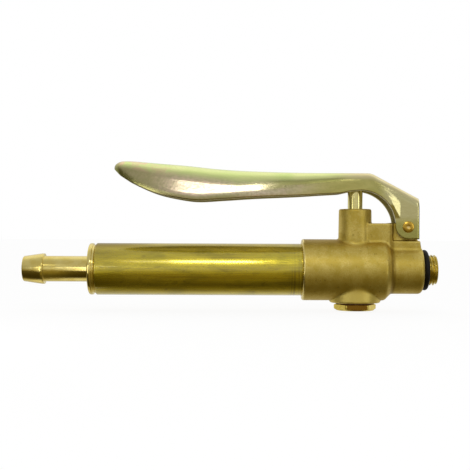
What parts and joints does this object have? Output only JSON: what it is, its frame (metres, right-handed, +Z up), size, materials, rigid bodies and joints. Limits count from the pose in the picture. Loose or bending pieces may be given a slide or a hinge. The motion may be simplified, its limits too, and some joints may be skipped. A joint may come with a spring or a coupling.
{
  "type": "lever valve hand nozzle",
  "caption": "Brass hand nozzle with a hose tail, a grip tube, a lever-pressed valve and a short threaded outlet with an O-ring.",
  "frame": {"origin": "centre of the outlet's mouth, on the flow axis", "axes": "+X along the flow and out of the outlet, +Z up from the grip tube towards the lever, +Y across"},
  "size_m": [0.177, 0.0262, 0.0634],
  "materials": {
    "cast_brass": "matte sand-cast skin with machined end faces",
    "drawn_brass": "satin drawn tube with fine streaks along its length and a dull olive patina",
    "polished_brass": "bright turned and polished",
    "turned_brass": "turned, with fine lathe marks",
    "yellow_zinc_steel": "pressed sheet steel, zinc plated and yellow passivated with a green and pink bloom",
    "coppered_pin": "copper-coloured formed pin ends",
    "black_rubber": "smooth nitrile rubber",
    "fibre": "pressed fibre sealing ring",
    "stainless_gauze": "perforated stainless tube",
    "spring_steel": "drawn spring wire"
  },
  "bodies": {
    "housing": {"valve_body": "cast_brass", "handle_tube": "drawn_brass", "hose_tail": "polished_brass", "tail_o_ring": "black_rubber", "strainer_collar": "turned_brass", "strainer_gauze": "stainless_gauze", "strainer_end": "turned_brass", "tube_gasket": "fibre", "gland_o_ring_upper": "black_rubber", "gland_spacer": "turned_brass", "gland_o_ring_lower": "black_rubber", "gland_bush": "turned_brass", "seat_ring": "turned_brass", "outlet_nipple": "turned_brass", "outlet_o_ring": "black_rubber", "bonnet_plug": "turned_brass", "plug_gasket": "fibre", "valve_spring": "spring_steel"},
    "squeeze_lever": {"lever": "yellow_zinc_steel", "pivot_pin": "coppered_pin"},
    "valve_stem": {"push_rod": "polished_brass", "valve_disc": "black_rubber", "disc_cup": "turned_brass", "disc_nut": "turned_brass"}
  },
  "joints": [
    {"name": "lever_squeeze", "type": "hinge", "parent": "housing", "child": "squeeze_lever", "pos_m": [-0.0129, 0, 0.01844], "axis": [0, -1, 0], "range_deg": [0, 10], "stiffness_Nm_per_rad": 1.4, "springref_deg": -13.75},
    {"name": "push_rod_slide", "type": "slide", "parent": "housing", "child": "valve_stem", "axis": [0, 0, -1], "range_m": [0, 0.0037], "deforming": ["valve_spring"]}
  ],
  "couplings": [
    {"joint": "push_rod_slide", "follows": "lever_squeeze", "m_per_rad": 0.021}
  ]
}
